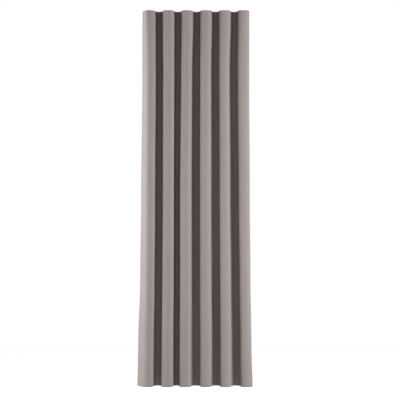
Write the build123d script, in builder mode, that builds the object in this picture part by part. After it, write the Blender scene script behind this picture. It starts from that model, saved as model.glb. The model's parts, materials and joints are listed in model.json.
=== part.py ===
"""Wave-headed room curtain panel, hung on a row of snap hooks.

Frame, in millimetres: +X runs along the track to the right as seen from the room, -Y faces the
room, +Y faces the window, +Z is up.  The origin is the middle of the hanging line, the straight
line through the eyes of all the hooks.

One cloth is carried by hooks at an even spacing, so it swings to the room side between one pair
of hooks and to the window side between the next pair.  The cloth is divided at every crest, where
it bends when the curtain is drawn, into upright strips.  Each strip runs from one crest to the
next and carries one hook half way.
"""

import os
from math import cos, radians, sin

from build123d import *

# ---- driving dimensions -------------------------------------------------------------------
HOOK_SPACING = 60.0          # along the track, set by the spacer cord of the gliders
HOOK_COUNT = 12
FOLD_DEPTH = 80.0            # front crest to back crest, middle of the cloth
DROP = 2400.0                # top edge to bottom edge of the cloth
TOP_ABOVE_EYES = 15.0        # the heading stands above the hook eyes and hides the gliders

CLOTH_THICK = 1.5            # with its coating, as the solids carry it
FRONT_LOBE_WIDTH = 75.0      # outside the walls of a fold that faces the room
FRONT_RADIUS = 27.0
BACK_RADIUS = 21.0
CREST_GAP = 3.0              # left open between two strips where the cloth bends

TAPE_WIDTH = 75.0            # woven heading tape, sewn on the back
TAPE_BELOW_TOP = 5.0
TAPE_THICK = 1.0
TAPE_GAP = 4.0               # between two lengths of tape or hem across a crest

BOTTOM_HEM = 80.0            # turned up on the back
BOTTOM_HEM_THICK = 1.5
SIDE_HEM = 25.0              # turned in along both side edges
SIDE_HEM_THICK = 1.0
HEM_CLEARANCE = 2.0          # between the side hem and the tape or the bottom hem

KNEE = -1700.0               # above this height the two outer folds spread a little, below it more
LEFT_SPREAD = (20.0, 38.0)   # of the left edge, at the knee and at the bottom
RIGHT_SPREAD = (7.0, 20.0)

EYE_RADIUS = 2.0             # bore of a hook's eye, for a glider pin
EYE_WALL = 2.2
EYE_WIDTH = 4.0              # along Y
EYE_MOUTH = 60.0             # degrees of the ring left open, so that it snaps over the pin
MOUTH_ANGLE = 225.0          # towards the hollow of the fold and down
STEM_INNER = 2.4             # from the eye's centre towards the cloth
STEM_OUTER = 4.1
STEM_LENGTH = 34.0
STEM_WIDTH = 2.6             # along Y
TONGUE_INNER = 0.3
TONGUE_OUTER = 1.6
TONGUE_LENGTH = 22.0

WEIGHT_RADIUS = 11.0
WEIGHT_THICK = 2.4
WEIGHT_ABOVE_EDGE = 24.0
LABEL_WIDTH = 20.0
LABEL_HEIGHT = 45.0
LABEL_THICK = 0.4
LABEL_ABOVE_EDGE = 180.0

# ---- worked out from them -----------------------------------------------------------------
TOP = TOP_ABOVE_EYES
BOTTOM = TOP - DROP
CREST = FOLD_DEPTH / 2
HALF_CLOTH = CLOTH_THICK / 2
WALL_X = FRONT_LOBE_WIDTH / 2 - HALF_CLOTH      # middle of a fold's wall, from its front crest
FRONT_CORNER_X = WALL_X - FRONT_RADIUS
FRONT_CORNER_Y = -CREST + FRONT_RADIUS
BACK_CORNER_X = WALL_X + BACK_RADIUS
BACK_CORNER_Y = CREST - BACK_RADIUS
STRIP_COUNT = HOOK_COUNT
LAST = STRIP_COUNT - 1
TAPE_TOP = TOP - TAPE_BELOW_TOP
TAPE_BOTTOM = TAPE_TOP - TAPE_WIDTH
HEM_TOP = BOTTOM + BOTTOM_HEM


def hook_x(index):
    """Place of a hook's eye on the hanging line, counted from the left."""
    return HOOK_SPACING * (index - (HOOK_COUNT - 1) / 2)


def side_of(index):
    """+1 where the strip lies right of its front crest, -1 where it lies left."""
    return 1 if index % 2 else -1


def front_crest_x(index):
    """The front crest that the strip ends at."""
    return hook_x(index) - side_of(index) * HOOK_SPACING / 2


def spread(index, height):
    """How far the outer wall of an end strip has moved out at a height."""
    at_knee, at_bottom = {0: LEFT_SPREAD, LAST: RIGHT_SPREAD}.get(index, (0.0, 0.0))
    if height > KNEE:
        return at_knee * (TOP - height) / (TOP - KNEE)
    return at_knee + (at_bottom - at_knee) * (KNEE - height) / (KNEE - BOTTOM)


def levels(index, low, high):
    """Heights of the sections that a strip's piece is lofted through."""
    bends = index in (0, LAST) and low < KNEE < high
    return [high, KNEE, low] if bends else [high, low]


def strip_plane(index, height):
    """Section plane whose own X runs from the front crest towards the strip's wall."""
    side = side_of(index)
    return Plane(origin=(front_crest_x(index), 0, height), x_dir=(side, 0, 0), z_dir=(0, 0, side))


def strip_line(offset, gap, widen, to_back_crest):
    """Draw the strip's path, moved towards the room by offset, and return its two ends."""
    start = (gap / 2, -CREST - offset)
    corner_x = FRONT_CORNER_X + widen
    wall_x = WALL_X + widen + offset
    Line(start, (corner_x, -CREST - offset))
    CenterArc((corner_x, FRONT_CORNER_Y), FRONT_RADIUS + offset, -90, 90)
    Line((wall_x, FRONT_CORNER_Y), (wall_x, BACK_CORNER_Y))
    if not to_back_crest:
        return start, (wall_x, BACK_CORNER_Y)
    end = (HOOK_SPACING - gap / 2, CREST - offset)
    CenterArc((BACK_CORNER_X, BACK_CORNER_Y), BACK_RADIUS - offset, 180, -90)
    Line((BACK_CORNER_X, CREST - offset), end)
    return start, end


def band_section(index, height, inner, outer, gap):
    """Draw the outline between two offsets of the strip's path and fill it."""
    to_back_crest = index not in (0, LAST)
    widen = spread(index, height)
    with BuildSketch(strip_plane(index, height)) as section:
        with BuildLine():
            start_a, end_a = strip_line(inner, gap, widen, to_back_crest)
            start_b, end_b = strip_line(outer, gap, widen, to_back_crest)
            Line(start_a, start_b)
            Line(end_a, end_b)
        make_face()
    return section.sketch


def panel_cuts(index):
    """Upright planes that divide a strip into panels: across both rounds and at the wall's ends."""
    side = side_of(index)
    crest_x = front_crest_x(index)
    across_front = Plane((crest_x + side * FRONT_CORNER_X, FRONT_CORNER_Y, 0), z_dir=(side, 1, 0))
    wall_start = Plane((crest_x, FRONT_CORNER_Y, 0), z_dir=(0, 1, 0))
    wall_end = Plane((crest_x, BACK_CORNER_Y, 0), z_dir=(0, 1, 0))
    across_back = Plane((crest_x + side * BACK_CORNER_X, BACK_CORNER_Y, 0), z_dir=(side, 1, 0))
    at_an_edge = index in (0, LAST)
    return [across_front, wall_start] + ([] if at_an_edge else [wall_end, across_back])


def wall_patch(index, height, inner, outer, y_low, y_high):
    """A flat stretch lying on the straight wall of a strip."""
    middle_x = WALL_X + spread(index, height) + (inner + outer) / 2
    with BuildSketch(strip_plane(index, height)) as section:
        with Locations((middle_x, (y_low + y_high) / 2)):
            Rectangle(outer - inner, y_high - y_low)
    return section.sketch


def write(piece, name):
    piece.part.label = name
    export_step(piece.part, f"parts/{name}.step")


os.makedirs("parts", exist_ok=True)

# ---- cloth strips, from the left edge to the right edge -------------------------------------
# Each is divided into flat and gently curved panels that touch edge to edge, so that the hollow
# of a fold stays open to whatever meets the cloth.
for index in range(STRIP_COUNT):
    sections = [
        band_section(index, height, -HALF_CLOTH, HALF_CLOTH, CREST_GAP)
        for height in levels(index, BOTTOM, TOP)
    ]
    with BuildPart() as cloth_strip:
        loft(sections=sections, ruled=True)
        for cut in panel_cuts(index):
            split(bisect_by=cut, keep=Keep.BOTH)
    write(cloth_strip, f"cloth_strip_{index + 1:02d}")

# ---- heading tape, sewn on the back below the top edge ---------------------------------------
for index in range(STRIP_COUNT):
    inner = -HALF_CLOTH - TAPE_THICK
    sections = [
        band_section(index, height, inner, -HALF_CLOTH, TAPE_GAP)
        for height in levels(index, TAPE_BOTTOM, TAPE_TOP)
    ]
    with BuildPart() as heading_tape:
        loft(sections=sections, ruled=True)
    write(heading_tape, f"heading_tape_{index + 1:02d}")

# ---- turned-up bottom hem ---------------------------------------------------------------------
for index in range(STRIP_COUNT):
    inner = -HALF_CLOTH - BOTTOM_HEM_THICK
    sections = [
        band_section(index, height, inner, -HALF_CLOTH, TAPE_GAP)
        for height in levels(index, BOTTOM, HEM_TOP)
    ]
    with BuildPart() as bottom_hem:
        loft(sections=sections, ruled=True)
    write(bottom_hem, f"bottom_hem_{index + 1:02d}")

# ---- side hems, from the tape down to the bottom hem ------------------------------------------
for index, name in ((0, "side_hem_left"), (LAST, "side_hem_right")):
    inner = -HALF_CLOTH - SIDE_HEM_THICK
    low = HEM_TOP + HEM_CLEARANCE
    high = TAPE_BOTTOM - HEM_CLEARANCE
    sections = [
        wall_patch(index, height, inner, -HALF_CLOTH, BACK_CORNER_Y - SIDE_HEM, BACK_CORNER_Y)
        for height in levels(index, low, high)
    ]
    with BuildPart() as side_hem:
        loft(sections=sections, ruled=True)
    write(side_hem, name)

# ---- snap hooks --------------------------------------------------------------------------------
for index in range(HOOK_COUNT):
    side = side_of(index)
    face = Plane(origin=(hook_x(index), 0, 0), x_dir=(side, 0, 0), z_dir=(0, -side, 0))
    reach = 2 * (EYE_RADIUS + EYE_WALL)
    mouth = [
        (reach * cos(radians(MOUTH_ANGLE + turn)), reach * sin(radians(MOUTH_ANGLE + turn)))
        for turn in (-EYE_MOUTH / 2, EYE_MOUTH / 2)
    ]
    with BuildPart() as hook:
        with BuildSketch(face):
            Circle(EYE_RADIUS + EYE_WALL)
            Circle(EYE_RADIUS, mode=Mode.SUBTRACT)
            with BuildLine():
                Polyline((0, 0), mouth[0], mouth[1], close=True)
            make_face(mode=Mode.SUBTRACT)
        extrude(amount=EYE_WIDTH / 2, both=True)
        with BuildSketch(face):
            with Locations(((STEM_INNER + STEM_OUTER) / 2, -STEM_LENGTH / 2)):
                Rectangle(STEM_OUTER - STEM_INNER, STEM_LENGTH)
            tongue_top = -EYE_RADIUS - EYE_WALL / 2
            tongue_height = TONGUE_LENGTH + tongue_top
            with Locations(((TONGUE_INNER + TONGUE_OUTER) / 2, tongue_top - tongue_height / 2)):
                Rectangle(TONGUE_OUTER - TONGUE_INNER, tongue_height)
        extrude(amount=STEM_WIDTH / 2, both=True)
        tips = hook.edges().filter_by(Axis.Y).group_by(Axis.Z)[0]
        chamfer(tips, length=0.5)
    write(hook, f"hook_{index + 1:02d}")

# ---- covered weights sewn in the bottom corners -------------------------------------------------
for index, name in ((0, "corner_weight_left"), (LAST, "corner_weight_right")):
    side = side_of(index)
    height = BOTTOM + WEIGHT_ABOVE_EDGE
    hem_face = WALL_X + spread(index, height + WEIGHT_RADIUS) - HALF_CLOTH - BOTTOM_HEM_THICK
    centre_x = front_crest_x(index) + side * (hem_face - WEIGHT_THICK - 0.5)
    seat = Plane(
        origin=(centre_x, BACK_CORNER_Y - WEIGHT_RADIUS - 4.0, height),
        x_dir=(0, 1, 0),
        z_dir=(side, 0, 0),
    )
    with BuildPart() as corner_weight:
        with BuildSketch(seat):
            Circle(WEIGHT_RADIUS)
        extrude(amount=WEIGHT_THICK)
        fillet(corner_weight.edges().filter_by(GeomType.CIRCLE), radius=0.8)
    write(corner_weight, name)

# ---- blank care label on the right side hem -----------------------------------------------------
label_low = BOTTOM + LABEL_ABOVE_EDGE
label_inner = -HALF_CLOTH - SIDE_HEM_THICK - LABEL_THICK
label_sections = [
    wall_patch(
        LAST,
        height,
        label_inner,
        label_inner + LABEL_THICK,
        BACK_CORNER_Y - SIDE_HEM / 2 - LABEL_WIDTH / 2,
        BACK_CORNER_Y - SIDE_HEM / 2 + LABEL_WIDTH / 2,
    )
    for height in (label_low + LABEL_HEIGHT, label_low)
]
with BuildPart() as care_label:
    loft(sections=label_sections, ruled=True)
write(care_label, "care_label")
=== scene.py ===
import json
import math

import bpy
import numpy as np
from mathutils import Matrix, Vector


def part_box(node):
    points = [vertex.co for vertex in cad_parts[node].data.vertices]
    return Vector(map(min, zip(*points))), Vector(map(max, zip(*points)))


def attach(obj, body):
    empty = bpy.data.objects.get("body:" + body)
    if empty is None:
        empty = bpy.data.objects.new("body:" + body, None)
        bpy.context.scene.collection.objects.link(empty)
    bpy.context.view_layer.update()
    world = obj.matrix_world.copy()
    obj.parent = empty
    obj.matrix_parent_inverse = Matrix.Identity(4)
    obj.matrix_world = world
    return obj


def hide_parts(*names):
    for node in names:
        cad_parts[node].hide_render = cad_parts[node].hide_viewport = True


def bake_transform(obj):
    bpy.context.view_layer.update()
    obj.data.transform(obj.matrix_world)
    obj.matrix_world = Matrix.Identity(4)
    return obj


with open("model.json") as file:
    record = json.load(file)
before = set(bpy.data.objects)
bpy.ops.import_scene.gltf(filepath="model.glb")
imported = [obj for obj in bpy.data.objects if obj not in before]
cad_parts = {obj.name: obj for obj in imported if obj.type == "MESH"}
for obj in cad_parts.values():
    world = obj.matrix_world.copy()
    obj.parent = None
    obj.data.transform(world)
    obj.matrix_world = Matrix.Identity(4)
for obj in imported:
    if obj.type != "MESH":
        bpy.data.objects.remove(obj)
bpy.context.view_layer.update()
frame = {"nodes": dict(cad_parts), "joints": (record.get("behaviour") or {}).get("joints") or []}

# ---------------------------------------------------------------------------------------------
# FACE CLOTH
# One width of dense, matt, grey-taupe cloth, woven plain with slightly uneven yarns.  It is cut
# with the top turned over to the back and the bottom turned up 80 mm, and it stands in folds
# because its hooks are closer together than the cloth between them is wide.
# ---------------------------------------------------------------------------------------------
CLOTH_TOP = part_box("cloth_strip_02")[1].z
CLOTH_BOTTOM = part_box("cloth_strip_02")[0].z
HINGES = [j for j in frame["joints"] if j["name"].startswith("fold_")]
CREST_X = np.array([j["pos_m"][0] for j in HINGES])
CREST_Y = np.array([j["pos_m"][1] for j in HINGES])
CREST_COUNT = len(CREST_X)
HOOK_SPACING = CREST_X[1] - CREST_X[0]

CLOTH_THICK = 0.0008
TURN_DEPTH = 0.0016            # from the face to a turned layer behind it, middle to middle
TOP_TURN = 0.030               # turned over to the back, under the tape
BOTTOM_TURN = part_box("bottom_hem_02")[1].z - CLOTH_BOTTOM

# How the hung folds wander from the even spacing of their hooks: sideways places of the crests
# and widths of the folds that face the room, in metres, at seven heights.
PLAN_Z = np.array([CLOTH_TOP, -0.05, -0.36, -1.19, -1.70, -2.12, CLOTH_BOTTOM])
CREST_SWAY = 0.001 * np.array([
    [0, 0, 0, 0, 0, 0, 0, 0, 0, 0, 0],
    [0, 0, 0, 0, 0, 0, 0, 0, 0, 0, 0],
    [1, 2, 1, -1, -5, -3, -3, -1, -4, -4, -2],
    [-4, -1, -1, -5, -10, -5, -4, 1, 0, 2, 4],
    [-7, -4, -3, -6, -10, -5, -3, 3, 4, 6, 9],
    [-12, -8, -6, -9, -12, -4, 0, 6, 7, 12, 14],
    [-14, -10, -7, -9, -13, -4, -1, 6, 7, 12, 17],
])
FOLD_WIDTH = 0.001 * np.array([
    [73.5, 73.5, 73.5, 73.5, 73.5, 73.5],
    [73.5, 73.5, 73.5, 73.5, 73.5, 73.5],
    [75, 71.5, 69.5, 70.5, 66, 72],
    [75, 71, 72.5, 71.5, 67, 72],
    [75, 73, 74, 73, 69, 71],
    [74, 74, 75, 73.5, 70, 71],
    [73, 75, 75, 72, 70, 72],
])
LEFT_EDGE_OUT = 0.001 * np.array([46, 46.5, 48, 51, 54, 62, 65])      # past the first crest
RIGHT_EDGE_OUT = 0.001 * np.array([36.75, 36.75, 38.5, 36.5, 35.5, 37, 42])   # past the last
FLANK_START = 0.001 * np.array([20, 19, 15, 13, 13, 13, 13])   # the leftmost limb slopes from here
FLANK_ROUND = 0.010            # and bends into its slope as softly as this
EDGE_BACK_Y = 0.019            # how far behind the hanging line the side edges lie


def along_height(plan, z):
    """Values of a plan at heights z: smoothstep from each planned height to the next."""
    step = np.clip(np.searchsorted(-PLAN_Z, -z, side="right") - 1, 0, len(PLAN_Z) - 2)
    share = np.clip((PLAN_Z[step] - z) / (PLAN_Z[step] - PLAN_Z[step + 1]), 0, 1)
    share = share * share * (3 - 2 * share)
    plan = plan.reshape(len(PLAN_Z), -1)
    return plan[step] * (1 - share[:, None]) + plan[step + 1] * share[:, None]


def smooth_step(value, low, high):
    """0 below low, 1 above high, and smooth between them."""
    share = np.clip((value - low) / (high - low), 0, 1)
    return share * share * (3 - 2 * share)


CREST_WANDER = 0.0014          # of every crest to and from the room
WANDER_PER_METRE = 2.1         # radians down the drop
WANDER_PER_CREST = 1.9         # radians from one crest to the next
WANDER_BELOW = (0.05, 0.45)    # metres below the heading where it sets in and is whole


def crest_places(z):
    """x and y of every crest at heights z: y adds a slow sine of the height, with a phase that
    differs from crest to crest and nothing of it at the heading."""
    x = CREST_X + along_height(CREST_SWAY, z)
    phase = z[:, None] * WANDER_PER_METRE + np.arange(CREST_COUNT) * WANDER_PER_CREST
    wander = CREST_WANDER * np.sin(phase)
    return x, CREST_Y + wander * smooth_step(-z, *WANDER_BELOW)[:, None]


def wall_places(z):
    """x of the upright walls between the crests: half a fold's width from its front crest."""
    x, _ = crest_places(z)
    half = along_height(FOLD_WIDTH, z) / 2
    walls = np.zeros((len(z), CREST_COUNT + 1))
    walls[:, 0] = x[:, 0] - along_height(LEFT_EDGE_OUT, z)[:, 0]
    walls[:, -1] = x[:, -1] + along_height(RIGHT_EDGE_OUT, z)[:, 0]
    for crest in range(1, CREST_COUNT):
        fold = crest // 2
        walls[:, crest] = x[:, 2 * fold] + (half[:, fold] if crest % 2 else -half[:, fold])
    return walls


# Powers of the folds' curves left and right of a crest, first at the heading and the hem, whose
# stiffer layers keep the folds rounder, then between them.  A front fold is squarer on its left.
FRONT_POWERS = ((2.4, 2.0), (2.7, 2.15))
BACK_POWERS = ((2.0, 2.0), (2.3, 2.3))
LIMP_BELOW = (0.03, 0.35)      # metres below the heading where the second powers set in, are whole
LIMP_ABOVE = (0.02, 0.25)      # and the same above the bottom edge
CREASE_SLOPE = 0.07            # every fold has a faint pressed crease down its front
CREASE_ROUND = 0.002
GROOVE_PLACE = 0.0065          # a shallow groove left of the first crest
GROOVE_HALF_WIDTH = 0.004
GROOVE_DEPTH = 0.0008
GROOVE_BELOW = (0.05, 0.4)     # metres below the heading where it sets in and is whole
FINE_STEPS = 400               # points of a curve before it is divided evenly
HALF_STEPS = 22                # columns from a crest to a wall


def even_steps(x, y, count):
    """The same curves with count points at equal steps of length."""
    length = np.zeros_like(x)
    length[:, 1:] = np.cumsum(np.hypot(np.diff(x), np.diff(y)), axis=1)
    share = np.linspace(0, 1, count)
    even_x = np.array([np.interp(share * run[-1], run, row) for run, row in zip(length, x)])
    even_y = np.array([np.interp(share * run[-1], run, row) for run, row in zip(length, y)])
    return even_x, even_y


def quarter_fold(width, depth, power, crease, beyond=0.0):
    """A quarter of a superellipse from the crest (0, 0) to (width, depth), then straight on by
    beyond: x = width * sin(t)^(2/power), y = depth * (1 - cos(t)^(2/power)), with a crease added
    that slopes away from the crest on both sides and fades out at the wall."""
    t = np.linspace(0, math.pi / 2, FINE_STEPS)
    x = width[:, None] * np.sin(t) ** (2 / power[:, None])
    y = depth[:, None] * (1 - np.cos(t) ** (2 / power[:, None]))
    away = np.hypot(x, CREASE_ROUND) - CREASE_ROUND
    y = y + crease * away * (1 - (x / width[:, None]) ** 2) ** 2
    if beyond:
        x = np.append(x, x[:, -1:], axis=1)
        y = np.append(y, y[:, -1:] + beyond, axis=1)
    return x, y


def left_limb(z, width, depth):
    """The leftmost limb from the crest (0, 0) to its edge (width, depth): level for a short way,
    then an even slope, y = (s + sqrt(s^2 + rounding^2)) / 2 with s the slope's own line, less a
    bell-shaped groove beside the crest."""
    start = along_height(FLANK_START, z)
    x = width[:, None] * np.linspace(0, 1, FINE_STEPS)
    line = depth[:, None] / (width[:, None] - start) * (x - start)
    bend = (line + np.hypot(line, FLANK_ROUND)) / 2
    y = depth[:, None] * (bend - bend[:, :1]) / (bend[:, -1:] - bend[:, :1])
    groove = np.exp(-(((x - GROOVE_PLACE) / GROOVE_HALF_WIDTH) ** 2))
    return x, y + GROOVE_DEPTH * groove * smooth_step(-z, *GROOVE_BELOW)[:, None]


def fold_section(crest, z, steps=HALF_STEPS):
    """Plan view of the cloth round one crest at heights z, from wall to wall, with the place u
    of every column along the cloth, counted in strips from the left edge."""
    crest_x, crest_y = crest_places(z)
    walls = wall_places(z)
    x0, y0 = crest_x[:, crest], crest_y[:, crest]
    to_room = crest % 2 == 0
    sign = 1 if to_room else -1
    depth = np.abs(y0)
    powers, crease = (FRONT_POWERS, CREASE_SLOPE) if to_room else (BACK_POWERS, 0.0)
    limp = smooth_step(-z, *LIMP_BELOW) * smooth_step(z - CLOTH_BOTTOM, *LIMP_ABOVE)
    halves = []
    for half, (side, wall) in enumerate(((-1, crest), (1, crest + 1))):
        width = np.abs(walls[:, wall] - x0)
        if wall == 0:
            x, y = left_limb(z, width, depth + EDGE_BACK_Y)
        else:
            beyond = EDGE_BACK_Y if wall == CREST_COUNT else 0.0
            power = powers[0][half] + (powers[1][half] - powers[0][half]) * limp
            x, y = quarter_fold(width, depth, power, crease, beyond)
        x, y = even_steps(x, y, steps)
        halves.append((x0[:, None] + side * x, y0[:, None] + sign * y))
    left, right = halves
    x = np.concatenate([left[0][:, ::-1], right[0][:, 1:]], axis=1)
    y = np.concatenate([left[1][:, ::-1], right[1][:, 1:]], axis=1)
    return x, y, crest + 1 + np.linspace(-0.5, 0.5, x.shape[1])


def room_side(x, y, crest):
    """Unit normals of a plan curve that runs to the right, on its room side.  The walls that two
    pieces share stand square to the track."""
    tx, ty = np.gradient(x, axis=1), np.gradient(y, axis=1)
    if crest > 0:
        tx[:, 0] = 0
    if crest < CREST_COUNT - 1:
        tx[:, -1] = 0
    size = np.hypot(tx, ty)
    return ty / size, -tx / size


# Sines of the soft unevenness: waves in a strip's width, waves in a metre down, phase and weight.
DRAWN = np.random.default_rng(11)
RIPPLE_COUNT = 14
RIPPLES = [
    (DRAWN.uniform(1.0, 4.5), DRAWN.uniform(0.05, 0.6), DRAWN.uniform(0, 6.28), DRAWN.uniform(0.4, 1))
    for _ in range(RIPPLE_COUNT)
]
RIPPLE_DEPTH = 0.0001
RIPPLE_BELOW = (0.05, 0.2)     # metres below the heading where they set in and are whole


def ripple(u, z):
    """Soft unevenness of hung cloth: sines of several widths and of far greater heights added up,
    in metres, with none at the heading, where the tape holds the cloth flat."""
    total = np.zeros(np.broadcast(u, z).shape)
    for across, down, phase, weight in RIPPLES:
        total += weight * np.sin(2 * math.pi * (across * u + down * z) + phase)
    return RIPPLE_DEPTH * total * smooth_step(-z, *RIPPLE_BELOW)


def hung_points(crest, z, depth, steps=HALF_STEPS):
    """Points of a layer that lies depth behind the face, round one crest, at heights z, with
    their places along the cloth in strips."""
    x, y, u = fold_section(crest, z, steps)
    nx, ny = room_side(x, y, crest)
    shift = ripple(u[None, :], z[:, None]) - depth
    height = np.repeat(z[:, None], x.shape[1], 1)
    points = np.stack([x + nx * shift, y + ny * shift, height], axis=2)
    return points, u


MIDDLE_Z = (CLOTH_TOP + CLOTH_BOTTOM) / 2


def piece_width(crest):
    """Length of the cloth round one crest, wall to wall, at the middle of the drop."""
    x, y, _ = fold_section(crest, np.array([MIDDLE_Z]))
    return float(np.hypot(np.diff(x[0]), np.diff(y[0])).sum())


WIDTHS = [piece_width(crest) for crest in range(CREST_COUNT)]
STARTS = np.concatenate([[0], np.cumsum(WIDTHS)])


def flat_u(crest, u):
    """Places along the cloth in metres from the left edge, for a material that follows it."""
    return STARTS[crest] + (u - crest - 0.5) * WIDTHS[crest]


def sheet_object(name, points, uv, thickness):
    """A sheet with two faces and closed edges round a grid of points (rows, columns, 3): each
    face lies half the thickness from the grid, along the cross product of its row and column
    directions.  The UV map is in metres of flat cloth."""
    rows, columns = points.shape[:2]
    normal = np.cross(np.gradient(points, axis=0), np.gradient(points, axis=1))
    normal /= np.linalg.norm(normal, axis=2, keepdims=True)
    count = rows * columns
    vertices = np.concatenate([
        (points + normal * thickness / 2).reshape(-1, 3),
        (points - normal * thickness / 2).reshape(-1, 3),
    ])
    corner = (np.arange(rows - 1)[:, None] * columns + np.arange(columns - 1)).ravel()
    outer = np.stack([corner, corner + columns, corner + columns + 1, corner + 1], axis=1)
    ring = np.concatenate([
        np.arange(columns - 1),
        np.arange(rows - 1) * columns + columns - 1,
        (rows - 1) * columns + np.arange(columns - 1, 0, -1),
        np.arange(rows - 1, 0, -1) * columns,
    ])
    after = np.roll(ring, -1)
    rim = np.stack([ring, after, after + count, ring + count], axis=1)
    faces = np.concatenate([outer, outer[:, ::-1] + count, rim])
    mesh = bpy.data.meshes.new(name)
    mesh.from_pydata(vertices, [], faces)
    layer = mesh.uv_layers.new(name="flat_cloth")
    places = np.tile(uv.reshape(-1, 2), (2, 1))
    layer.data.foreach_set("uv", places[faces.ravel()].ravel())
    mesh.polygons.foreach_set("use_smooth", [True] * len(outer) * 2 + [False] * len(rim))
    on_rim = np.zeros(2 * count, bool)
    on_rim[ring] = True
    on_rim[ring + count] = True
    ends = np.zeros(len(mesh.edges) * 2, int)
    mesh.edges.foreach_get("vertices", ends)
    sharp = on_rim[ends.reshape(-1, 2)].all(axis=1)
    mesh.attributes.new("sharp_edge", "BOOLEAN", "EDGE").data.foreach_set("value", sharp)
    piece = bpy.data.objects.new(name, mesh)
    bpy.context.collection.objects.link(piece)
    return piece


TOP_TURN_ROWS = 4
BEND_ROWS = 7                  # of a bend, its two ends counted
FACE_ROWS = 190
HEM_ROWS = 10


def cloth_rows():
    """Height, depth behind the face and place v along the cut length of every row: up the back
    of the top turn, over, down the face, round the bottom and up the back of the hem."""
    radius = TURN_DEPTH / 2
    over = np.linspace(0, math.pi, BEND_ROWS)[1:-1]
    face_top, face_low = CLOTH_TOP - radius, CLOTH_BOTTOM + radius
    hem = np.linspace(face_low, CLOTH_BOTTOM + BOTTOM_TURN, HEM_ROWS)
    turn = np.linspace(CLOTH_TOP - TOP_TURN, face_top, TOP_TURN_ROWS)
    face = np.linspace(face_top, face_low, FACE_ROWS)
    z = np.concatenate([
        turn, face_top + radius * np.sin(over), face, face_low - radius * np.sin(over), hem
    ])
    depth = np.concatenate([
        np.full(len(turn), TURN_DEPTH),
        radius + radius * np.cos(over),
        np.zeros(len(face)),
        radius - radius * np.cos(over),
        np.full(len(hem), TURN_DEPTH),
    ])
    v = np.concatenate([[0], np.cumsum(np.hypot(np.diff(z), np.diff(depth)))])
    return z, depth, v


def bend_with(piece):
    """Bakes the piece's placement into its mesh. It is not tied to the strips beside its crest and does
    not bend with them; its crest's wander from top to bottom is already in its own points."""
    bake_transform(piece)


def woven_group():
    """Plain weave with uneven yarns: colour factor, height and roughness over a UV in metres. The colour
    factor paints shade into the weave: every yarn is darker towards its edges, where it dips under its
    neighbours.
    """
    group = bpy.data.node_groups.new("woven_yarns", "ShaderNodeTree")
    face = group.interface
    for name, kind, value in (
        ("Yarn Pitch", "NodeSocketFloat", 0.0007),
        ("Slub", "NodeSocketFloat", 0.5),
        ("Base", "NodeSocketColor", (0.3, 0.27, 0.26, 1)),
        # Dark is the colour of the darker uneven yarns and of the painted shade in the gaps between the
        # yarns
        ("Dark", "NodeSocketColor", (0.2, 0.18, 0.17, 1)),
    ):
        socket = face.new_socket(name, in_out="INPUT", socket_type=kind)
        socket.default_value = value
    face.new_socket("Color", in_out="OUTPUT", socket_type="NodeSocketColor")
    face.new_socket("Height", in_out="OUTPUT", socket_type="NodeSocketFloat")
    face.new_socket("Roughness", in_out="OUTPUT", socket_type="NodeSocketFloat")
    add, link = group.nodes.new, group.links.new
    given, out = add("NodeGroupInput"), add("NodeGroupOutput")

    def calc(operation, *values):
        node = add("ShaderNodeMath")
        node.operation = operation
        for socket, value in zip(node.inputs, values):
            if isinstance(value, (int, float)):
                socket.default_value = value
            else:
                link(value, socket)
        return node.outputs[0]

    uv = add("ShaderNodeUVMap")
    uv.uv_map = "flat_cloth"
    split = add("ShaderNodeSeparateXYZ")
    link(uv.outputs[0], split.inputs[0])
    pitch = given.outputs["Yarn Pitch"]
    across = calc("DIVIDE", split.outputs[0], pitch)
    along = calc("DIVIDE", split.outputs[1], pitch)
    warp = calc("ABSOLUTE", calc("SINE", calc("MULTIPLY", across, math.pi)))
    weft = calc("ABSOLUTE", calc("SINE", calc("MULTIPLY", along, math.pi)))
    odd = calc("MODULO", calc("ADD", calc("FLOOR", across), calc("FLOOR", along)), 2.0)
    odd = calc("ABSOLUTE", odd)
    warp_on_top = calc("MULTIPLY", odd, warp)
    weft_on_top = calc("MULTIPLY", calc("SUBTRACT", 1.0, odd), weft)
    on_top = calc("ADD", warp_on_top, weft_on_top)

    def streaks(scale_across, scale_along, detail):
        spot = add("ShaderNodeCombineXYZ")
        link(calc("MULTIPLY", split.outputs[0], scale_across), spot.inputs[0])
        link(calc("MULTIPLY", split.outputs[1], scale_along), spot.inputs[1])
        noise = add("ShaderNodeTexNoise")
        noise.inputs["Scale"].default_value = 1.0
        noise.inputs["Detail"].default_value = detail
        link(spot.outputs[0], noise.inputs["Vector"])
        return calc("SUBTRACT", noise.outputs[0], 0.5)

    upright = streaks(900.0, 12.0, 2.0)
    level = streaks(14.0, 900.0, 2.0)
    broad = streaks(9.0, 2.2, 3.0)
    slub = calc("MULTIPLY", calc("ADD", upright, level), given.outputs["Slub"])
    lift = calc("ADD", on_top, slub)
    # painted shade: each yarn is lighter on its raised middle and darker where it dips under the crossing
    # yarns, as if shade fell in the weave's gaps
    painted_yarn_gap_shade = calc("MULTIPLY", on_top, 0.35)
    uneven_shade = calc("ADD", slub, calc("MULTIPLY", broad, 0.25))
    factor = calc("ADD", calc("ADD", painted_yarn_gap_shade, uneven_shade), 0.55)
    mix = add("ShaderNodeMix")
    mix.data_type = "RGBA"
    link(factor, mix.inputs[0])
    link(given.outputs["Dark"], mix.inputs[6])
    link(given.outputs["Base"], mix.inputs[7])
    link(mix.outputs[2], out.inputs["Color"])
    link(lift, out.inputs["Height"])
    link(calc("SUBTRACT", 0.94, calc("MULTIPLY", on_top, 0.12)), out.inputs["Roughness"])
    return group


WOVEN = woven_group()


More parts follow.
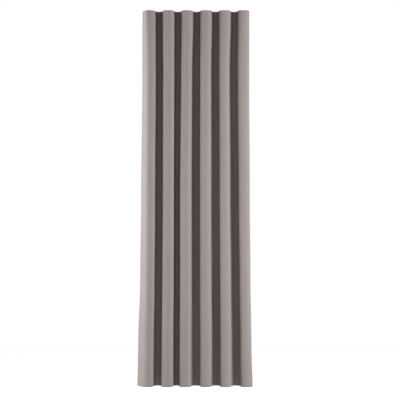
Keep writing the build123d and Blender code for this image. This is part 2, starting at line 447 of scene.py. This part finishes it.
def woven_material(name, base, dark, pitch, slub, bump, sheen):
    """Cloth of one yarn colour: the weave gives colour, with painted shade in the gaps between the yarns,
    roughness and bump.
    """
    material = bpy.data.materials.new(name)
    material.use_nodes = True
    tree = material.node_tree
    shader = tree.nodes["Principled BSDF"]
    weave = tree.nodes.new("ShaderNodeGroup")
    weave.node_tree = WOVEN
    weave.inputs["Yarn Pitch"].default_value = pitch
    weave.inputs["Slub"].default_value = slub
    weave.inputs["Base"].default_value = (*base, 1)
    weave.inputs["Dark"].default_value = (*dark, 1)
    relief = tree.nodes.new("ShaderNodeBump")
    relief.inputs["Strength"].default_value = bump
    relief.inputs["Distance"].default_value = 0.0003
    tree.links.new(weave.outputs["Height"], relief.inputs["Height"])
    tree.links.new(relief.outputs[0], shader.inputs["Normal"])
    tree.links.new(weave.outputs["Color"], shader.inputs["Base Color"])
    tree.links.new(weave.outputs["Roughness"], shader.inputs["Roughness"])
    shader.inputs["Specular IOR Level"].default_value = 0.2
    shader.inputs["Sheen Weight"].default_value = sheen
    shader.inputs["Sheen Roughness"].default_value = 0.6
    return material


FACE_CLOTH = woven_material(
    "face_cloth", base=(0.335, 0.293, 0.286), dark=(0.235, 0.203, 0.197),
    pitch=0.0007, slub=0.45, bump=0.35, sheen=0.08,
)

row_z, row_depth, row_v = cloth_rows()
for crest in range(CREST_COUNT):
    points, u = hung_points(crest, row_z, row_depth[:, None])
    uv = np.stack(np.broadcast_arrays(flat_u(crest, u)[None, :], row_v[:, None]), axis=2)
    cloth = sheet_object(f"face_cloth_{crest + 1:02d}", points, uv, CLOTH_THICK)
    cloth.data.materials.append(FACE_CLOTH)
    stands_for = [f"cloth_strip_{crest + 1:02d}", f"bottom_hem_{crest + 1:02d}"]
    if crest == CREST_COUNT - 1:
        stands_for += [f"cloth_strip_{crest + 2:02d}", f"bottom_hem_{crest + 2:02d}"]
    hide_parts(*stands_for)
    bend_with(cloth)

# ---------------------------------------------------------------------------------------------
# SIDE HEMS
# Both side edges are turned in 25 mm and stitched.  The turned strip runs the whole drop, under
# the heading tape and under the turned-up bottom hem.
# ---------------------------------------------------------------------------------------------
SIDE_TURN = 0.025
HIDDEN_DEPTH = 0.0012          # of the turned strip where another layer covers it
HEM_TOP = CLOTH_BOTTOM + BOTTOM_TURN
COVER_NEAR = 0.004             # outside the covering layer's edge the strip is still pressed in
COVER_FAR = 0.012              # and lies at its own depth from here on
LIMB_STEPS = 60
SIDE_HEM_ROWS = 200
SIDE_HEM_SHORT = 0.0006        # at the top and bottom, inside the cloth's own bends
EDGE_COLUMNS = 9               # round the folded edge
TURNED_COLUMNS = 12            # of the flat part behind it
EDGE_LENGTH = 0.0025           # of cloth round the folded edge


def end_limb(z, right_side):
    """The outer limb of the first or last strip at heights z, in columns from its crest to its
    edge: points of its middle (rows, columns, 3), normals on its outer side, and the length of
    cloth from each column to the edge."""
    crest = CREST_COUNT - 1 if right_side else 0
    points, _ = hung_points(crest, z, 0.0, LIMB_STEPS)
    nx, ny = room_side(points[:, :, 0], points[:, :, 1], crest)
    normal = np.stack([nx, ny, np.zeros_like(nx)], axis=2)
    outwards = slice(LIMB_STEPS - 1, None, 1 if right_side else -1)
    points, normal = points[:, outwards], normal[:, outwards]
    step = np.linalg.norm(np.diff(points, axis=1), axis=2)
    from_edge = np.zeros(points.shape[:2])
    from_edge[:, :-1] = np.cumsum(step[:, ::-1], axis=1)[:, ::-1]
    return points, normal, from_edge


def inwards_from_edge(limb, distance):
    """Points and normals of an end limb at distances from the edge: (rows, distances, 3)."""
    points, normal, from_edge = limb
    found = [
        [
            [np.interp(distance, run[::-1], row[::-1, axis]) for axis in range(3)]
            for run, row in zip(from_edge, grid)
        ]
        for grid in (points, normal)
    ]
    place, facing = (np.array(part).transpose(0, 2, 1) for part in found)
    return place, facing / np.linalg.norm(facing, axis=2, keepdims=True)


def side_turn_depth(z):
    """How far behind the face the turned strip lies: less where another layer covers it."""
    under_top = smooth_step(
        z, CLOTH_TOP - TOP_TURN - COVER_FAR, CLOTH_TOP - TOP_TURN - COVER_NEAR
    )
    under_hem = 1 - smooth_step(z, HEM_TOP + COVER_NEAR, HEM_TOP + COVER_FAR)
    return TURN_DEPTH + (HIDDEN_DEPTH - TURN_DEPTH) * np.maximum(under_top, under_hem)


for right_side, name, body in ((False, "left", "strip_01"), (True, "right", "strip_12")):
    z = np.linspace(CLOTH_TOP - SIDE_HEM_SHORT, CLOTH_BOTTOM + SIDE_HEM_SHORT, SIDE_HEM_ROWS)
    if not right_side:
        z = z[::-1]
    limb = end_limb(z, right_side)
    edge, outer = limb[0][:, -1:], limb[1][:, -1:]
    towards = edge - limb[0][:, -2:-1]
    towards /= np.linalg.norm(towards, axis=2, keepdims=True)
    radius = side_turn_depth(z)[:, None, None] / 2
    angle = np.linspace(0, math.pi, EDGE_COLUMNS)[None, :, None]
    round_edge = edge - outer * radius + radius * (outer * np.cos(angle) + towards * np.sin(angle))
    inwards = np.linspace(0, SIDE_TURN, TURNED_COLUMNS)[1:]
    place, facing = inwards_from_edge(limb, inwards)
    points = np.concatenate([round_edge, place - facing * 2 * radius], axis=1)
    round_length = np.linspace(0, math.pi * TURN_DEPTH / 2, EDGE_COLUMNS)
    across = np.concatenate([round_length, inwards + EDGE_LENGTH])
    side = 1 if right_side else -1
    start_u = STARTS[-1] if right_side else 0.0
    uv = np.stack(np.broadcast_arrays((start_u + side * across)[None, :], z[:, None]), axis=2)
    hem = sheet_object(f"side_hem_{name}_turned", points, uv, CLOTH_THICK)
    hem.data.materials.append(FACE_CLOTH)
    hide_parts(f"side_hem_{name}")
    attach(hem, body)

# ---------------------------------------------------------------------------------------------
# HEADING TAPE
# White woven polyester tape, 75 mm wide, sewn along the back of the heading over the turned top.
# Two narrow ribbons woven into it stand off in small loops, the pockets that take the hooks.
# ---------------------------------------------------------------------------------------------
TAPE_LOW, TAPE_HIGH = (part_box("heading_tape_02")[side].z for side in (0, 1))
TAPE_THICK = 0.0006
TAPE_DEPTH = 0.0009            # behind the face cloth, middle to middle, where nothing is between
TAPE_LIFT = 0.0014             # more where it lies on a turned edge
POCKET_PITCH = 0.009
POCKET_BULGE = 0.0009
POCKET_THICK = 0.0004
POCKET_HEIGHT = 0.011
POCKET_ROWS = (-0.0125, -0.0465)
RIBBON_ON_HOOK = 0.00475       # behind the face, so that a hook's stem passes under the ribbon
LEFTMOST_HOOK_EXTRA = 0.0005
HOOK_CLEAR = (0.0018, 0.007)   # from the hanging line, where the ribbon leaves the hook, is down
LOOP_POWER = 0.7               # of the sine along a ribbon: below one makes its loops fuller
TAPE_STEP_NEAR = 0.001         # about a turned edge, where the tape's step down begins
TAPE_STEP_FAR = 0.006          # and where it is done
TAPE_STEPS = 61
TAPE_ROWS = 26
RIBBON_ROWS = 5
END_COLUMNS = 3                # left out where the tape ends


def tape_depth(crest, u, z):
    """Depth of the tape's middle behind the face: lifted over the turned top and side edges."""
    from_left = flat_u(crest, u)
    from_edge = np.minimum(from_left, STARTS[-1] - from_left)[None, :]
    on_side_hem = 1 - smooth_step(from_edge, SIDE_TURN + TAPE_STEP_NEAR, SIDE_TURN + TAPE_STEP_FAR)
    on_turn = smooth_step(
        z[:, None], CLOTH_TOP - TOP_TURN - TAPE_STEP_FAR, CLOTH_TOP - TOP_TURN + TAPE_STEP_NEAR
    )
    return TAPE_DEPTH + TAPE_LIFT * np.maximum(on_side_hem, on_turn)


def inside_edges(crest, grid):
    """Leaves out the columns next to a side edge, where the tape's end is cut short."""
    first = END_COLUMNS if crest == 0 else 0
    last = -END_COLUMNS if crest == CREST_COUNT - 1 else None
    return grid[:, first:last]


TAPE_CLOTH = woven_material(
    "tape_cloth", base=(0.80, 0.79, 0.76), dark=(0.55, 0.54, 0.51),
    pitch=0.0009, slub=0.12, bump=0.5, sheen=0.05,
)

for crest in range(CREST_COUNT):
    z = np.linspace(TAPE_HIGH, TAPE_LOW, TAPE_ROWS)
    u = fold_section(crest, z[:1], TAPE_STEPS)[2]
    points, _ = hung_points(crest, z, tape_depth(crest, u, z), TAPE_STEPS)
    uv = np.stack(np.broadcast_arrays(flat_u(crest, u)[None, :], z[:, None]), axis=2)
    tape = sheet_object(
        f"heading_tape_{crest + 1:02d}_woven", inside_edges(crest, points), inside_edges(crest, uv),
        TAPE_THICK,
    )
    tape.data.materials.append(TAPE_CLOTH)
    stands_for = [f"heading_tape_{crest + 1:02d}"]
    if crest == CREST_COUNT - 1:
        stands_for.append(f"heading_tape_{crest + 2:02d}")
    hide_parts(*stands_for)
    bend_with(tape)
    for row, middle in enumerate(POCKET_ROWS):
        z = middle + np.linspace(POCKET_HEIGHT / 2, -POCKET_HEIGHT / 2, RIBBON_ROWS)
        loops = np.abs(np.sin(math.pi * flat_u(crest, u) / POCKET_PITCH)) ** LOOP_POWER
        flat_on_tape = tape_depth(crest, u, z) + (TAPE_THICK + POCKET_THICK) / 2
        depth = flat_on_tape + POCKET_BULGE * loops[None, :]
        if row == 0:
            x, y, _ = fold_section(crest, z, TAPE_STEPS)
            on_hook = RIBBON_ON_HOOK + LEFTMOST_HOOK_EXTRA * (x < CREST_X[0] - HOOK_SPACING / 2)
            depth += (on_hook - depth) * (1 - smooth_step(np.abs(y), *HOOK_CLEAR))
        points, _ = hung_points(crest, z, depth, TAPE_STEPS)
        uv = np.stack(np.broadcast_arrays(flat_u(crest, u)[None, :], z[:, None]), axis=2)
        level = ("upper", "lower")[row]
        ribbon = sheet_object(
            f"pocket_ribbon_{level}_{crest + 1:02d}", inside_edges(crest, points), inside_edges(crest, uv),
            POCKET_THICK,
        )
        ribbon.data.materials.append(TAPE_CLOTH)
        bend_with(ribbon)

# ---------------------------------------------------------------------------------------------
# SEAMS
# Machine lockstitch in thread of the cloth's colour: two rows that hold the tape, one row along
# the bottom hem and one along each side hem, each seen on the face and on the back.
# ---------------------------------------------------------------------------------------------
STITCH_PITCH = 0.0033
STITCH_RADIUS = 0.00019
STITCH_SHARE = (0.08, 0.88)    # of the pitch, start and end of the thread that shows
STITCH_RINGS = 5
STITCH_SIDES = 5
THREAD_PROUD = 0.00008         # of the thread's middle above the layer it lies on
THREAD_DEPTH = CLOTH_THICK / 2 + THREAD_PROUD
SEAM_INSET = 0.003             # from the edge of the tape or of the turned cloth
TAPE_SEAMS = (TAPE_HIGH - SEAM_INSET, TAPE_LOW + SEAM_INSET)
HEM_SEAM = HEM_TOP - SEAM_INSET
SIDE_SEAM = SIDE_TURN - SEAM_INSET
SIDE_SEAM_ENDS = (TAPE_LOW - 0.002, HEM_TOP - 0.001)   # from under the tape to just into the hem
SEAM_SHORT = 0.004             # of a level seam at the panel's side edges

thread = bpy.data.materials.new("thread")
thread.use_nodes = True
nodes, links = thread.node_tree.nodes, thread.node_tree.links
shader = nodes["Principled BSDF"]
where = nodes.new("ShaderNodeTexCoord")
twist = nodes.new("ShaderNodeTexWave")
twist.inputs["Scale"].default_value = 900.0
twist.inputs["Distortion"].default_value = 2.0
tint = nodes.new("ShaderNodeMix")
tint.data_type = "RGBA"
tint.inputs[6].default_value = (0.20, 0.175, 0.17, 1)
tint.inputs[7].default_value = (0.31, 0.272, 0.264, 1)
links.new(where.outputs["Object"], twist.inputs["Vector"])
links.new(twist.outputs["Color"], tint.inputs[0])
links.new(tint.outputs[2], shader.inputs["Base Color"])
shader.inputs["Roughness"].default_value = 0.6
shader.inputs["Sheen Weight"].default_value = 0.1


def stitches(name, starts, ends, outward):
    """Threads from starts to ends (n, 3): five rings of five points each, thinner and sunk into
    the cloth at both ends, lifted in the middle."""
    along = ends - starts
    axis = along / np.linalg.norm(along, axis=1, keepdims=True)
    across = np.cross(axis, outward)
    share = np.array([0, 0.18, 0.5, 0.82, 1.0])
    size = STITCH_RADIUS * np.array([0.4, 0.9, 1.0, 0.9, 0.4])
    lift = STITCH_RADIUS * np.array([-0.9, 0.1, 0.4, 0.1, -0.9])
    turn = np.arange(STITCH_SIDES) * 2 * math.pi / STITCH_SIDES
    middle = starts[:, None] + along[:, None] * share[:, None] + outward[:, None] * lift[:, None]
    ring = outward[:, None] * np.cos(turn)[:, None] + across[:, None] * np.sin(turn)[:, None]
    vertices = middle[:, :, None] + size[:, None, None] * ring[:, None]
    corner = np.arange(STITCH_SIDES)
    ring_start = np.arange(STITCH_RINGS - 1)[:, None] * STITCH_SIDES
    near = (ring_start + corner).ravel()
    beside = (ring_start + (corner + 1) % STITCH_SIDES).ravel()
    tube = np.stack([near, beside, beside + STITCH_SIDES, near + STITCH_SIDES], axis=1)
    first = np.arange(len(starts))[:, None, None] * (STITCH_RINGS * STITCH_SIDES)
    sides = (tube[None] + first).reshape(-1, 4).tolist()
    caps = np.stack([corner[::-1], corner + (STITCH_RINGS - 1) * STITCH_SIDES])
    caps = (caps[None] + first).reshape(-1, STITCH_SIDES).tolist()
    mesh = bpy.data.meshes.new(name)
    mesh.from_pydata(vertices.reshape(-1, 3), [], sides + caps)
    mesh.polygons.foreach_set("use_smooth", [True] * len(mesh.polygons))
    mesh.materials.append(thread)
    piece = bpy.data.objects.new(name, mesh)
    bpy.context.collection.objects.link(piece)
    return piece


def seam_across(crest, z, depth, back):
    """Starts, ends and outward directions of stitches in a level row round one crest, on the
    face or on the back, with depth behind the face given for every column."""
    level = np.array([z])
    points, _ = hung_points(crest, level, depth, TAPE_STEPS)
    x, y, _ = fold_section(crest, level, TAPE_STEPS)
    nx, ny = room_side(x, y, crest)
    normal = np.stack([nx[0], ny[0], np.zeros_like(nx[0])], axis=1)
    normal = -normal if back else normal
    points = points[0]
    run = np.concatenate([[0], np.cumsum(np.linalg.norm(np.diff(points, axis=0), axis=1))])
    low = SEAM_SHORT if crest == 0 else 0.0
    high = run[-1] - (SEAM_SHORT if crest == CREST_COUNT - 1 else 0.0)
    count = round((high - low) / STITCH_PITCH)
    spots = [low + (np.arange(count) + share) * (high - low) / count for share in STITCH_SHARE]
    starts, ends = (
        np.stack([np.interp(spot, run, points[:, axis]) for axis in range(3)], axis=1)
        for spot in spots
    )
    middle = (spots[0] + spots[1]) / 2
    outward = np.stack([np.interp(middle, run, normal[:, axis]) for axis in range(3)], axis=1)
    return starts, ends, outward / np.linalg.norm(outward, axis=1, keepdims=True)


for crest in range(CREST_COUNT):
    u = fold_section(crest, np.array([0.0]), TAPE_STEPS)[2]
    rows = []
    for z in TAPE_SEAMS:
        on_tape = tape_depth(crest, u, np.array([z])) + TAPE_THICK / 2 + THREAD_PROUD
        rows.append(seam_across(crest, z, -THREAD_DEPTH, back=False))
        rows.append(seam_across(crest, z, on_tape, back=True))
    sewn = stitches(f"tape_seam_{crest + 1:02d}", *(np.concatenate(part) for part in zip(*rows)))
    bend_with(sewn)
    rows = [
        seam_across(crest, HEM_SEAM, -THREAD_DEPTH, back=False),
        seam_across(crest, HEM_SEAM, TURN_DEPTH + THREAD_DEPTH, back=True),
    ]
    sewn = stitches(f"hem_seam_{crest + 1:02d}", *(np.concatenate(part) for part in zip(*rows)))
    bend_with(sewn)

for right_side, name, body in ((False, "left", "strip_01"), (True, "right", "strip_12")):
    high, low = SIDE_SEAM_ENDS
    count = round((high - low) / STITCH_PITCH)
    pitch = (high - low) / count
    z_starts, z_ends = (high - (np.arange(count) + share) * pitch for share in STITCH_SHARE)
    parts = []
    for back in (False, True):
        found = []
        for z in (z_starts, z_ends):
            place, facing = inwards_from_edge(end_limb(z, right_side), np.array([SIDE_SEAM]))
            depth = side_turn_depth(z)[:, None] + THREAD_DEPTH if back else -THREAD_DEPTH
            found.append(place[:, 0] - facing[:, 0] * depth)
        parts.append((found[0], found[1], facing[:, 0] * (-1 if back else 1)))
    sewn = stitches(f"side_seam_{name}", *(np.concatenate(part) for part in zip(*parts)))
    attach(sewn, body)

# ---------------------------------------------------------------------------------------------
# HOOKS
# White acetal snap hooks, moulded in one piece: an open eye that snaps over a glider's pin, a
# stem that goes through a pocket of the tape and a shorter tongue that holds it there.
# ---------------------------------------------------------------------------------------------
acetal = bpy.data.materials.new("hook_acetal")
acetal.use_nodes = True
nodes, links = acetal.node_tree.nodes, acetal.node_tree.links
shader = nodes["Principled BSDF"]
where = nodes.new("ShaderNodeTexCoord")
flow = nodes.new("ShaderNodeTexNoise")
flow.inputs["Scale"].default_value = 260.0
flow.inputs["Detail"].default_value = 3.0
tint = nodes.new("ShaderNodeMix")
tint.data_type = "RGBA"
tint.inputs[6].default_value = (0.74, 0.74, 0.71, 1)
tint.inputs[7].default_value = (0.86, 0.86, 0.84, 1)
gloss = nodes.new("ShaderNodeMapRange")
gloss.inputs["To Min"].default_value = 0.28
gloss.inputs["To Max"].default_value = 0.46
skin = nodes.new("ShaderNodeBump")
skin.inputs["Strength"].default_value = 0.15
skin.inputs["Distance"].default_value = 0.0001
links.new(where.outputs["Object"], flow.inputs["Vector"])
links.new(flow.outputs[0], tint.inputs[0])
links.new(flow.outputs[0], gloss.inputs["Value"])
links.new(flow.outputs[0], skin.inputs["Height"])
links.new(tint.outputs[2], shader.inputs["Base Color"])
links.new(gloss.outputs[0], shader.inputs["Roughness"])
links.new(skin.outputs[0], shader.inputs["Normal"])
shader.inputs["Subsurface Weight"].default_value = 0.08
shader.inputs["Subsurface Radius"].default_value = (0.002, 0.002, 0.002)

for name, node in frame["nodes"].items():
    if name.startswith("hook_"):
        for place in node.material_slots:
            place.material = acetal

# ---------------------------------------------------------------------------------------------
# CORNER WEIGHTS
# A flat lead-free weight in a round pouch of the face cloth, sewn into each bottom corner behind
# the hem, so that the edges hang straight.
# ---------------------------------------------------------------------------------------------
POUCH_RADIUS = 0.011
POUCH_THICK = 0.0034
POUCH_SEAM = 0.0022            # flat seam round the pouch
POUCH_AROUND = 48
POUCH_RINGS = 19               # from pole to pole, the poles counted
POUCH_NECK = (0.0002, 0.0004)  # where pillow and seam meet: outside the pillow, from the middle
POUCH_RIM_HALF = 0.00025       # half the thickness of the flat seam's edge
POUCH_STITCHES = 26
POUCH_STITCH_SHARE = 0.66      # of a stitch's pitch, the thread that shows
POUCH_STITCH_PLACE = 0.6       # of the seam's width outside the pillow
POUCH_STITCH_LIFT = 0.0003


def pouch(name, centre, right, up, inward):
    """A closed pillow with a flat seam round it: radius follows sin(b)^0.55 and height cos(b)^0.8
    over b from the inner pole to the outer, with the seam's rim let in at the middle."""
    b = np.linspace(0, math.pi, POUCH_RINGS)[1:-1]
    radial = POUCH_RADIUS * np.sin(b) ** 0.55
    height = POUCH_THICK / 2 * np.sign(np.cos(b)) * np.abs(np.cos(b)) ** 0.8
    half = len(b) // 2
    rim_radial = np.array([POUCH_RADIUS + POUCH_SEAM] * 2)
    rim_height = np.array([POUCH_RIM_HALF, -POUCH_RIM_HALF])
    neck_out, neck_height = POUCH_NECK
    neck_radial = [POUCH_RADIUS + neck_out]
    radial = np.concatenate([
        radial[:half], neck_radial, rim_radial, neck_radial, radial[half + 1:]
    ])
    height = np.concatenate([
        height[:half], [neck_height], rim_height, [-neck_height], height[half + 1:]
    ])
    a = np.linspace(0, 2 * math.pi, POUCH_AROUND, endpoint=False)
    ring = right * np.cos(a)[:, None] + up * np.sin(a)[:, None]
    rings = centre + radial[:, None, None] * ring + height[:, None, None] * inward
    top = centre + inward * POUCH_THICK / 2
    bottom = centre - inward * POUCH_THICK / 2
    vertices = np.concatenate([[top], rings.reshape(-1, 3), [bottom]])
    columns = np.arange(POUCH_AROUND)
    beside = (columns + 1) % POUCH_AROUND
    levels = 1 + np.arange(len(radial) - 1)[:, None] * POUCH_AROUND
    quads = np.stack([
        levels + columns,
        levels + POUCH_AROUND + columns,
        levels + POUCH_AROUND + beside,
        levels + beside,
    ], axis=2).reshape(-1, 4)
    last = 1 + (len(radial) - 1) * POUCH_AROUND
    fans = [(0, 1 + c, 1 + d) for c, d in zip(columns, beside)]
    fans += [(len(vertices) - 1, last + d, last + c) for c, d in zip(columns, beside)]
    mesh = bpy.data.meshes.new(name)
    mesh.from_pydata(vertices, [], quads.tolist() + fans)
    mesh.polygons.foreach_set("use_smooth", [True] * len(mesh.polygons))
    layer = mesh.uv_layers.new(name="flat_cloth")
    place = vertices - centre
    flat_places = np.stack([place @ right, place @ up], axis=1)
    corners = np.zeros(len(mesh.loops), int)
    mesh.loops.foreach_get("vertex_index", corners)
    layer.data.foreach_set("uv", flat_places[corners].ravel())
    piece = bpy.data.objects.new(name, mesh)
    bpy.context.collection.objects.link(piece)
    return piece


for right_side, name, body in ((False, "left", "strip_01"), (True, "right", "strip_12")):
    low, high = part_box(f"corner_weight_{name}")
    level = np.array([(low.z + high.z) / 2])
    points, normal, _ = end_limb(level, right_side)
    middle_y = (low.y + high.y) / 2
    column = int(np.argmin(np.abs(points[0, :, 1] - middle_y)))
    inward = -normal[0, column]
    up = np.array([0.0, 0.0, 1.0])
    right = np.cross(up, inward)
    centre = points[0, column] + inward * (TURN_DEPTH + CLOTH_THICK / 2 + POUCH_THICK / 2)
    weight = pouch(f"weight_pouch_{name}", centre, right, up, inward)
    weight.data.materials.append(FACE_CLOTH)
    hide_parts(f"corner_weight_{name}")
    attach(weight, body)
    around = np.arange(POUCH_STITCHES) * 2 * math.pi / POUCH_STITCHES
    span = POUCH_STITCH_SHARE * 2 * math.pi / POUCH_STITCHES
    rim = POUCH_RADIUS + POUCH_SEAM * POUCH_STITCH_PLACE
    lifted = centre + inward * POUCH_STITCH_LIFT
    spots = [
        lifted + rim * (right * np.cos(a)[:, None] + up * np.sin(a)[:, None])
        for a in (around, around + span)
    ]
    sewn = stitches(f"pouch_seam_{name}", spots[0], spots[1], np.tile(inward, (len(around), 1)))
    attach(sewn, body)

# ---------------------------------------------------------------------------------------------
# CARE LABEL
# A blank white satin label, woven narrow with firm edges, fixed by its top edge to the back of
# the right side hem.  Its free end hangs down and curls a little away from the cloth.
# ---------------------------------------------------------------------------------------------
label_low, label_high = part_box("care_label")
LABEL_THICK = 0.0003
LABEL_CURL = 0.0022            # of the free end, away from the cloth
LABEL_WAVE = 0.0003
LABEL_WAVES = 2.4 * math.pi    # radians across its width
LABEL_ROWS = 24
LABEL_COLUMNS = 14

z = np.linspace(label_high.z, label_low.z, LABEL_ROWS)
limb = end_limb(z, True)
width = label_high.y - label_low.y
distance = EDGE_BACK_Y - label_high.y + np.linspace(0, width, LABEL_COLUMNS)
place, facing = inwards_from_edge(limb, distance)
share = ((z[0] - z) / (z[0] - z[-1]))[:, None, None]
wave = LABEL_WAVE * np.sin(np.linspace(0, LABEL_WAVES, LABEL_COLUMNS))[None, :, None] * share
stand = TURN_DEPTH + CLOTH_THICK / 2 + LABEL_THICK + LABEL_CURL * share ** 2 + wave
uv = np.stack(np.broadcast_arrays(distance[None, :], z[:, None]), axis=2)
label = sheet_object("care_label_satin", place - facing * stand, uv, LABEL_THICK)
SATIN = woven_material(
    "label_satin", base=(0.83, 0.83, 0.82), dark=(0.70, 0.70, 0.69),
    pitch=0.00025, slub=0.1, bump=0.15, sheen=0.0,
)
label.data.materials.append(SATIN)
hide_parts("care_label")
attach(label, "strip_12")

# ---------------------------------------------------------------------------------------------
# STUDIO
# The curtain hangs free in a white studio: a grey floor that glows white only for the camera, a
# white surround, three soft boxes in front and at the sides and two behind, and one long lens
# level with the middle of the drop.
# ---------------------------------------------------------------------------------------------
FLOOR_Z = CLOTH_BOTTOM - 0.26
FLOOR_HALF = 5.0
floor_mesh = bpy.data.meshes.new("floor")
floor_corners = [
    (-FLOOR_HALF, -FLOOR_HALF, FLOOR_Z),
    (FLOOR_HALF, -FLOOR_HALF, FLOOR_Z),
    (FLOOR_HALF, FLOOR_HALF, FLOOR_Z),
    (-FLOOR_HALF, FLOOR_HALF, FLOOR_Z),
]
floor_mesh.from_pydata(floor_corners, [], [(0, 1, 2, 3)])
floor = bpy.data.objects.new("floor", floor_mesh)
bpy.context.collection.objects.link(floor)
floor_paint = bpy.data.materials.new("floor_paint")
floor_paint.use_nodes = True
nodes, links = floor_paint.node_tree.nodes, floor_paint.node_tree.links
paint = nodes["Principled BSDF"]
paint.inputs["Base Color"].default_value = (0.28, 0.28, 0.28, 1)
paint.inputs["Roughness"].default_value = 0.9
paint.inputs["Emission Color"].default_value = (1, 1, 1, 1)
seen = nodes.new("ShaderNodeLightPath")
glow = nodes.new("ShaderNodeMath")
glow.operation = "MULTIPLY"
glow.inputs[1].default_value = 0.95
links.new(seen.outputs["Is Camera Ray"], glow.inputs[0])
links.new(glow.outputs[0], paint.inputs["Emission Strength"])
floor_mesh.materials.append(floor_paint)

world = bpy.data.worlds.new("studio")
bpy.context.scene.world = world
world.use_nodes = True
nodes, links = world.node_tree.nodes, world.node_tree.links
sky = nodes["Background"]
sky.inputs["Color"].default_value = (1, 1, 1, 1)
seen = nodes.new("ShaderNodeLightPath")
level = nodes.new("ShaderNodeMapRange")
level.inputs["To Min"].default_value = 0.05
level.inputs["To Max"].default_value = 1.0
links.new(seen.outputs["Is Camera Ray"], level.inputs["Value"])
links.new(level.outputs[0], sky.inputs["Strength"])


def soft_light(name, azimuth, distance, width, height, watts, middle_z):
    """A soft box that stands level and faces the hanging line; azimuth 0 is straight in front,
    and positive azimuths are on the right."""
    lamp = bpy.data.lights.new(name, "AREA")
    lamp.shape = "RECTANGLE"
    lamp.size, lamp.size_y = width, height
    lamp.energy = watts
    box = bpy.data.objects.new(name, lamp)
    angle = math.radians(azimuth)
    box.location = (distance * math.sin(angle), -distance * math.cos(angle), middle_z)
    box.rotation_euler = (math.pi / 2, 0, angle)
    box.visible_camera = False
    bpy.context.collection.objects.link(box)


FRONT_LIGHT_RAISED = 0.5
soft_light(
    "left_box", azimuth=-80, distance=1.7, width=0.7, height=3.5, watts=59, middle_z=MIDDLE_Z
)
soft_light(
    "right_box", azimuth=53, distance=2.8, width=1.2, height=3.6, watts=113, middle_z=MIDDLE_Z
)
soft_light(
    "front_box", azimuth=0, distance=5.0, width=2.5, height=2.5, watts=31,
    middle_z=MIDDLE_Z + FRONT_LIGHT_RAISED,
)
soft_light(
    "back_left_box", azimuth=-140, distance=3.2, width=1.4, height=3.0, watts=95, middle_z=MIDDLE_Z
)
soft_light(
    "back_right_box", azimuth=135, distance=3.4, width=1.4, height=3.0, watts=75, middle_z=MIDDLE_Z
)

CAMERA_ASIDE = 0.022           # right of the hanging line's middle
CAMERA_AWAY = 8.71             # in front of the hanging line
CAMERA_LOWERED = 0.008         # below the middle of the drop
camera_data = bpy.data.cameras.new("camera")
camera_data.sensor_width = 36
camera_data.lens = 122.6
camera_data.clip_end = 100
camera = bpy.data.objects.new("camera", camera_data)
camera.location = (CAMERA_ASIDE, -CAMERA_AWAY, MIDDLE_Z - CAMERA_LOWERED)
camera.rotation_euler = (math.pi / 2, 0, 0)
bpy.context.collection.objects.link(camera)
bpy.context.scene.camera = camera
bpy.context.scene.view_settings.view_transform = "Standard"

bpy.context.view_layer.update()
